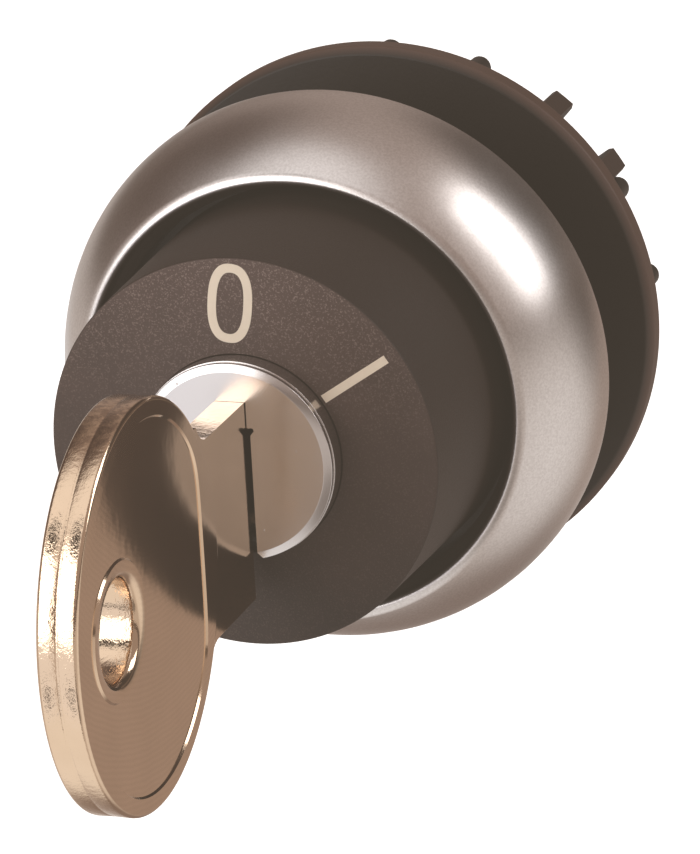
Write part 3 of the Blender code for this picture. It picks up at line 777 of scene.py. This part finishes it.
def make_cover():
    """Round cover with a raised edge, a rim round its middle hole, two plunger holes and two screw holes."""
    sunk, edge, middle, middle_rim = cover_rear - COVER_SUNK, cover_radius - 0.9, 1.6, 2.5
    plunger_hole, screw_hole = 1.35, 0.98
    outline = rounded([
        (middle, cover_front, 0), (cover_radius, cover_front, 0.1), (cover_radius, cover_rear, 0.12),
        (edge, cover_rear, 0.08), (edge - 0.1, sunk, 0.08),
        (middle_rim + 0.1, sunk, 0.08), (middle_rim, cover_rear, 0.08), (middle, cover_rear, 0.15),
    ])
    cover = thing_from("cover_plate", turned(outline, 144))
    holes = [(x, 0, plunger_hole) for x in (plunger_left_x, plunger_right_x)]
    holes += [(0, side * screw_z, screw_hole) for side in (1, -1)]
    for x, z, radius in holes:
        cut(cover, rod(x, z, radius, cover_front - 1, cover_rear + 1))
    return finished(cover, charcoal, "switch_body", "dark_plastic", "rear_cover")


def make_cover_screws():
    """Pan-head screws along the Y axis, each with a straight slot."""
    head_front, shank, head = cover_rear - COVER_SUNK, 0.75, 1.5
    slot_depth, slot_half = 0.4, 0.2
    for place, side in (("top", 1), ("bottom", -1)):
        outline = rounded([
            (0, screw_front, 0), (shank, screw_front + 0.2, 0.1), (shank, head_front, 0),
            (head, head_front, 0.12), (head, screw_rear - 0.35, 0.3), (0, screw_rear, 0),
        ], closed=False)
        screw = thing_from(f"cover_screw_head_{place}", turned(outline, FINE))
        slot_floor, slot_end = screw_rear - slot_depth, head + 1
        cut(screw, block((-slot_end, slot_floor, -slot_half), (slot_end, screw_rear + 1, slot_half)))
        bevel(screw, 0.03, 2, 40)
        screw.data.transform(Matrix.Translation((0, 0, side * screw_z * MM)))
        finished(screw, steel, "switch_body", "spring_steel", f"cover_screw_{place}")


def coil_rings(radius, wire, turns, start, end, steps_per_turn=24, sides=10):
    """Rings along a helix of round wire about the Y axis."""
    rings = []
    up = Vector((0, 1, 0))
    steps = round(turns * steps_per_turn)
    for step in range(steps + 1):
        turn = 2 * math.pi * step / steps_per_turn
        out = Vector((math.cos(turn), 0, math.sin(turn)))
        y = start + (end - start) * step / steps
        middle = Vector((radius * math.cos(turn), y, radius * math.sin(turn)))
        ring = []
        for side in range(sides):
            swing = 2 * math.pi * side / sides
            ring.append(middle + (out * math.cos(swing) + up * math.sin(swing)) * wire / 2)
        rings.append(ring)
    return rings


def make_plunger_springs():
    """Coils of round wire in place of the plunger springs, on the switch body."""
    radius, wire, turns, travel = 1.6, 0.3, 3.5, 2.4
    for side, x in (("left", plunger_left_x), ("right", plunger_right_x)):
        node = f"plunger_spring_{side}"
        front, rear = extent(node, Y)
        rings = coil_rings(radius, wire, turns, front + wire / 2, rear - wire / 2)
        spring = thing_from(f"plunger_coil_{side}", tube(rings))
        spring.data.transform(Matrix.Translation((x * MM, 0, 0)))
        finished(spring, steel, "switch_body", "spring_steel", node)
        spring.modifiers.clear()
        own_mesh(spring)


def make_wafer_springs():
    """Coils of round wire over the wafers' ears, on no body."""
    wire, turns = 0.16, 4.5
    upright = Matrix.Rotation(math.pi / 2, 4, "X")
    for number in WAFERS:
        node = f"wafer_spring_{number}"
        west, east = extent(node, X)
        low, high = extent(node, Z)
        x, y = (west + east) / 2, sum(extent(node, Y)) / 2
        rings = coil_rings((east - west - wire) / 2, wire, turns, low + wire / 2, high - wire / 2, 20, 8)
        spring = thing_from(f"wafer_coil_{number}", tube(rings))
        spring.data.transform(Matrix.Translation((x * MM, y * MM, 0)) @ upright)
        finished(spring, steel, None, "spring_steel", node)
        spring.modifiers.clear()
        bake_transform(spring)


# The pieces that turn with the key

def make_plug():
    """Round head and body with the keyway, its flared mouth and a small notch beside it."""
    groove_front, groove_rear, groove = -16.3, -15.3, 4.6
    head_rear, body = -14.6, 4.9
    clip_front, clip_rear, clip = 6.4, 7.2, 4.1
    body_rear, tail, tail_hole = 7.6, 2.1, 0.95
    chamfer, chamfer_depth, cap_rear, step = 0.46, 0.13, plug_front + 0.42, 0.05
    cap = plug_head - step
    outline = rounded([
        (0, plug_front, 0), (plug_head - chamfer, plug_front, 0.1), (cap, plug_front + chamfer_depth, 0.05),
        (cap, cap_rear, 0), (plug_head, cap_rear, 0.03),
        (plug_head, groove_front, 0), (groove, groove_front, 0), (groove, groove_rear, 0),
        (plug_head, groove_rear, 0), (plug_head, head_rear, 0), (body, head_rear, 0),
        (body, clip_front, 0), (clip, clip_front, 0), (clip, clip_rear, 0),
        (body, clip_rear, 0), (body, body_rear, 0), (0, body_rear, 0),
    ], closed=False)
    plug = thing_from("plug_core", turned(outline))
    join(plug, block((-tail, body_rear - 0.5, -tail), (tail, plug_rear, tail)))
    cut(plug, rod(0, 0, tail_hole, body_rear - 1.5, plug_rear + 1, 24))

    before, way_rear, mouth_rear, notch_rear = plug_front - 1, 3.0, plug_front + 3.5, plug_front + 1.0
    wide, tight, high, narrowing, low = 1.0, 0.84, 3.23, 1.8, -3.8
    way = [(-tight, high), (tight, high), (tight, narrowing), (wide, narrowing), (wide, low), (-wide, low)]
    way += [(-wide, narrowing), (-tight, narrowing)]
    cut(plug, along_y(way, before, way_rear))
    flare, flare_top, flare_low = wide + 0.75, -4.75, -5.6
    mouth = [(-wide, 0), (-wide, flare_top), (-flare, flare_low)]
    mouth += [(flare, flare_low), (wide, flare_top), (wide, 0)]
    cut(plug, along_y(mouth, before, mouth_rear))
    notch = [(0.7, 1.95), (0.8, 1.95), (0.92, 1.87), (1.03, 1.91), (1.16, 1.87)]
    notch += [(1.2, 1.75), (1.0, 1.5), (0.7, 1.5)]
    cut(plug, along_y(notch, before, notch_rear))
    slot_half, slot_width, slot_reach = 0.55, 2.1, 7
    ear_inner, ear_outer, ear_low, ear_high = slot_width - 0.5, 4.1, -1.4, 3.2
    for number in WAFERS:
        middle = sum(extent(f"wafer_{number}", Y)) / 2
        front, rear = middle - slot_half, middle + slot_half
        cut(plug, block((-slot_width, front, -slot_reach), (slot_width, rear, slot_reach)))
        cut(plug, block((ear_inner, front, ear_low), (ear_outer, rear, ear_high)))
    return finished(plug, bright, "plug", "polished_face", "lock_plug")


def bow_outline(inset=0.0, chord=None, sides=160):
    """(y, z) points of the nearly round bow, or of its pocket, which a chord cuts with soft corners."""
    softness = 24
    length, height = bow_length - inset, bow_height - inset
    points = []
    for side in range(sides):
        turn = 2 * math.pi * side / sides
        across, up = math.cos(turn), math.sin(turn)
        reach = 1 / math.hypot(across / length, up / height)
        if chord is not None and across > 0:
            to_chord = (chord - bow_centre[0]) / across
            reach = (reach ** -softness + to_chord ** -softness) ** (-1 / softness)
        points.append((bow_centre[0] + reach * across, bow_centre[1] + reach * up))
    return points


def across_x(layers):
    """Body through (y, z) outlines of equally many points at places along X."""
    return tube([[(x, y, z) for y, z in outline] for x, outline in layers])


def bow_blank():
    """Bow with rounded edges and a parting seam round the middle of its rim."""
    edge, steps = 0.22, 5
    seam = [(0.12, 0.02), (0.06, 0.035), (0.0, 0.05)]
    layers = []
    for step in range(steps, -1, -1):
        turn = math.radians(90 * step / steps)
        layers.append((bow_half - edge * (1 - math.sin(turn)), edge * (1 - math.cos(turn))))
    layers += seam
    layers += [(-x, inset) for x, inset in reversed(layers[:-1])]
    return across_x([(x, bow_outline(inset)) for x, inset in layers])


def key_shank():
    """Deep neck and blade, with a step under each wafer and a groove in each side."""
    neck_top, neck_bottom, neck_rear, half = 3.25, -7.2, plug_front - 0.03, 0.8
    blade_top, blade_bottom, first_step, step_drop, step_half = 3.2, -3.6, 2.9, 0.24, 0.65
    inside = bow_centre[0] + bow_length * 0.75
    flare, flare_rear = 1.5, -23.9
    outline = [(inside, neck_top + 1.0), *arc((flare_rear, neck_top + flare), flare, 200, 270, 6)]
    outline += [(neck_rear, neck_top), (neck_rear, blade_top)]
    for number in WAFERS:
        middle = sum(extent(f"wafer_{number}", Y)) / 2
        height = first_step - step_drop * (number - 1)
        outline += [(middle - step_half, height), (middle + step_half, height)]
    outline += [(key_tip - 1.4, 1.4), (key_tip, -0.4), (key_tip, -1.8), (key_tip - 1.6, blade_bottom)]
    outline += [(neck_rear, blade_bottom), (neck_rear, neck_bottom)]
    outline += arc((flare_rear, neck_bottom - flare), flare, 90, 160, 6)
    outline += [(inside, neck_bottom - 1.0)]
    shank = thing_from("shank", along_x(outline, half))
    bevel(shank, 0.07, 2, 50)
    groove_depth, groove_low, groove_high = 0.22, -1.5, -0.5
    for side in (1, -1):
        inner, outer = half * side - groove_depth, half * side + groove_depth
        cut(shank, block((inner, neck_rear + 1, groove_low), (outer, key_tip + 1, groove_high)))
    return shank


def make_key():
    """Coined bow with a raised border and a collar round its hole, a deep neck and a stepped blade."""
    key = thing_from("key_blank", bow_blank())
    pocket, border, chord, clear = 0.10, 0.92, -25.95, 0.4
    hole, hole_radius, collar, collar_inner, collar_root = (-37.4, -1.8), 2.5, 0.87, 1.0, 0.2
    near_lip, far_lip, drill_steps, proud, overrun = 0.45, 0.08, 12, 0.02, 0.5
    for side in (1, -1):
        floor, face, above = (bow_half - pocket) * side, bow_half * side, (bow_half + clear) * side
        walls = []
        for x, inset in ((floor, border + pocket), (face, border), (above, border - clear)):
            walls.append((x, bow_outline(inset, chord + border - inset)))
        cut(key, across_x(walls))
        root, outer = floor - collar_root * side, hole_radius + collar
        levels = [(root, outer + pocket), (floor, outer + pocket), (face, outer), (face, collar_inner)]
        levels += [(root, collar_inner)]
        rings = [[(x, y, z) for y, z in arc(hole, radius, 0, 356.25, 95)] for x, radius in levels]
        join(key, tube(rings, capped=False))
    drill = []
    for step in range(-drill_steps, drill_steps + 1):
        x = (bow_half + proud) * step / drill_steps
        lip = near_lip if x > 0 else far_lip
        sunk = min(lip, max(0.0, abs(x) - (bow_half - lip)))
        flare = lip - math.sqrt(lip * lip - sunk * sunk)
        drill.append((x, arc(hole, hole_radius + flare, 1.7, 357.95, 95)))
    drill = [(-bow_half - overrun, drill[0][1]), *drill, (bow_half + overrun, drill[-1][1])]
    cut(key, across_x(drill))
    join_thing(key, key_shank())
    return finished(key, nickel, "key", "nickel_key", "key")


def make_plungers():
    """Push rods with a pointed front, a flange for the spring and a round stem."""
    tip, shoulder, shoulder_y, flange, stem = 0.5, 1.5, plunger_low + 1.0, 2.1, 1.1
    flange_front, flange_rear = 10.6, 11.4
    outline = rounded([
        (0, plunger_low, 0), (tip, plunger_low, 0.2), (shoulder, shoulder_y, 0.2),
        (flange, flange_front, 0.15), (flange, flange_rear, 0.1),
        (stem, flange_rear, 0), (stem, plunger_high, 0.3), (0, plunger_high, 0),
    ], closed=False)
    for side, x in (("left", plunger_left_x), ("right", plunger_right_x)):
        push_rod = thing_from(f"push_rod_{side}", turned(outline, FINE))
        push_rod.data.transform(Matrix.Translation((x * MM, 0, 0)))
        finished(push_rod, red, f"plunger_{side}", "red_plastic", f"plunger_{side}")


def carry_over():
    """Materials for the CAD nodes that stay: they are all inside the switch."""
    kept = {
        "lock_barrel": zinc, "barrel_nut": brass, "detent_spring": steel, "plug_oring": rubber,
        "plug_clip": steel, "cam": charcoal, "cam_washer": steel, "cam_screw": steel,
    }
    for number in WAFERS:
        kept[f"wafer_{number}"] = brass
    for node, finish in kept.items():
        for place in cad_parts[node].material_slots:
            place.material = finish


# The studio

def bearing(azimuth, elevation):
    """Direction from the object. Azimuth is to the user's right of the front, elevation above level."""
    turn, rise = math.radians(azimuth), math.radians(elevation)
    return Vector((math.sin(turn) * math.cos(rise), -math.cos(turn) * math.cos(rise), math.sin(rise)))


def lobe(tree, direction, azimuth, elevation, inner, outer):
    """1 towards a bearing, falling to 0 between two angles from it."""
    across = vector_maths(tree, "DOT_PRODUCT", direction, bearing(azimuth, elevation), result="Value")
    low, high = math.cos(math.radians(outer)), math.cos(math.radians(inner))
    ramp = {"Value": across, "From Min": low, "From Max": high}
    return add(tree, "ShaderNodeMapRange", ramp, interpolation_type="SMOOTHSTEP").outputs["Result"]


def make_world():
    """A dim warm room over a lit table, with a few broad bright and dark areas, and a plain pale backdrop."""
    world = bpy.data.worlds.new("studio")
    bpy.context.scene.world = world
    world.use_nodes = True
    tree = world.node_tree
    direction = add(tree, "ShaderNodeTexCoord").outputs["Generated"]
    height = part(tree, direction, "Z")
    table, room, horizon = (0.66, 0.58, 0.53), (0.41, 0.32, 0.28), (0.14, 0.10, 0.08)
    colour = colours(tree, between(tree, height, 0, 1, -0.03, 0.10), table, room)
    # azimuth and elevation from the object, inner and outer angle, radiance
    areas = (
        (-38, 63, 14, 38, (1.2, 1.15, 1.13)),
        (-29, 45, 4, 11, (0.03, 0.02, 0.017)),
        (-114, 34, 12, 42, (0.10, 0.063, 0.05)),
        (178, -58, 14, 36, (0.27, 0.20, 0.17)),
        (-40, -60, 20, 42, (1.07, 1.03, 1.0)),
        (102, -32, 8, 40, (0.97, 0.91, 0.87)),
        (148, 16, 18, 42, (0.05, 0.033, 0.027)),
        (162, -19, 8, 22, (0.40, 0.30, 0.25)),
        (22, -35, 8, 20, (0.27, 0.225, 0.20)),
        (-28, -20, 16, 28, (1.10, 1.07, 1.09)),
        (-24, -31, 2, 6, (0.05, 0.035, 0.03)),
        (-140, -24, 5, 16, (0.95, 0.92, 0.90)),
    )
    for azimuth, elevation, inner, outer, radiance in areas:
        colour = colours(tree, lobe(tree, direction, azimuth, elevation, inner, outer), colour, radiance)
    # a dark band just above level
    above = between(tree, height, 0, 1, 0.0, 0.05)
    below = between(tree, height, 1, 0, 0.15, 0.21)
    colour = colours(tree, maths(tree, "MULTIPLY", above, below), colour, horizon)
    seen = add(tree, "ShaderNodeLightPath").outputs["Is Camera Ray"]
    fill(tree, tree.nodes["Background"].inputs["Color"], colours(tree, seen, colour, (1.0, 1.0, 1.0)))


def softbox(name, azimuth, elevation, width, height, radiance):
    """Rectangular light that faces the object, with a size in millimetres and a radiance."""
    light = bpy.data.lights.new(name, "AREA")
    light.shape = "RECTANGLE"
    light.size, light.size_y = width * MM, height * MM
    light.energy = radiance * math.pi * light.size * light.size_y
    thing = bpy.data.objects.new(name, light)
    towards = bearing(azimuth, elevation)
    aim, distance = Vector((0, -15, 0)), 600
    thing.location = (aim + towards * distance) * MM
    thing.rotation_euler = towards.to_track_quat("Z", "Y").to_euler()
    thing.visible_camera = False
    bpy.context.scene.collection.objects.link(thing)


def make_floor():
    """Plain pale floor, well below the switch, which a panel holds up in use."""
    half, height, glow = 4000, -260, 0.9
    body = bmesh.new()
    corners = [(-half, -half), (half, -half), (half, half), (-half, half)]
    body.faces.new([body.verts.new((x * MM, y * MM, height * MM)) for x, y in corners])
    floor = thing_from("floor", body)
    made, tree, shader = material("floor_paint")
    mottle = noise(tree, place_of(tree), 0.01, 2.0)
    coat(tree, shader, colours(tree, mottle, (0.93, 0.925, 0.915), (0.95, 0.945, 0.94)), 0.9)
    shader.inputs["Emission Color"].default_value = (1.0, 1.0, 1.0, 1)
    shader.inputs["Emission Strength"].default_value = glow
    floor.data.materials.append(made)
    floor.visible_glossy = False
    floor.visible_diffuse = False


def make_camera():
    """Long lens in front, to the user's right and above, with a slight roll."""
    azimuth, elevation, roll = math.radians(19.16), math.radians(18.37), math.radians(-3.13)
    aim, distance = Vector((5.79, -16.87, 1.74)), 250.0
    lens = bpy.data.cameras.new("camera")
    lens.lens, lens.sensor_width = 210.8, 36.0
    camera = bpy.data.objects.new("camera", lens)
    turn = Matrix.Rotation(azimuth, 3, "Z") @ Matrix.Rotation(math.pi / 2 - elevation, 3, "X")
    turn = turn @ Matrix.Rotation(roll, 3, "Z")
    camera.rotation_euler = turn.to_euler()
    camera.location = (aim + turn @ Vector((0, 0, distance))) * MM
    lens.clip_start, lens.clip_end = 0.01, 20.0
    bpy.context.scene.collection.objects.link(camera)
    bpy.context.scene.camera = camera


def set_tone():
    """Plain tones with a slight warm haze, which keeps the darkest places from going black."""
    tone = bpy.context.scene.view_settings
    tone.view_transform = "Standard"
    tone.use_curve_mapping = True
    tone.curve_mapping.black_level = (-0.047, -0.038, -0.029)
    tone.curve_mapping.update()


make_camera()
make_bezel()
make_gasket()
make_shroud()
make_zero_mark()
make_one_mark()
make_housing()
make_lock_ring()
make_cover()
make_cover_screws()
make_plunger_springs()
make_wafer_springs()
make_plug()
make_key()
make_plungers()
carry_over()
make_world()
softbox("softbox_right", 105, 35, 250, 400, 4.0)
softbox("softbox_left", -30, 16, 440, 440, 2.9)
make_floor()
set_tone()
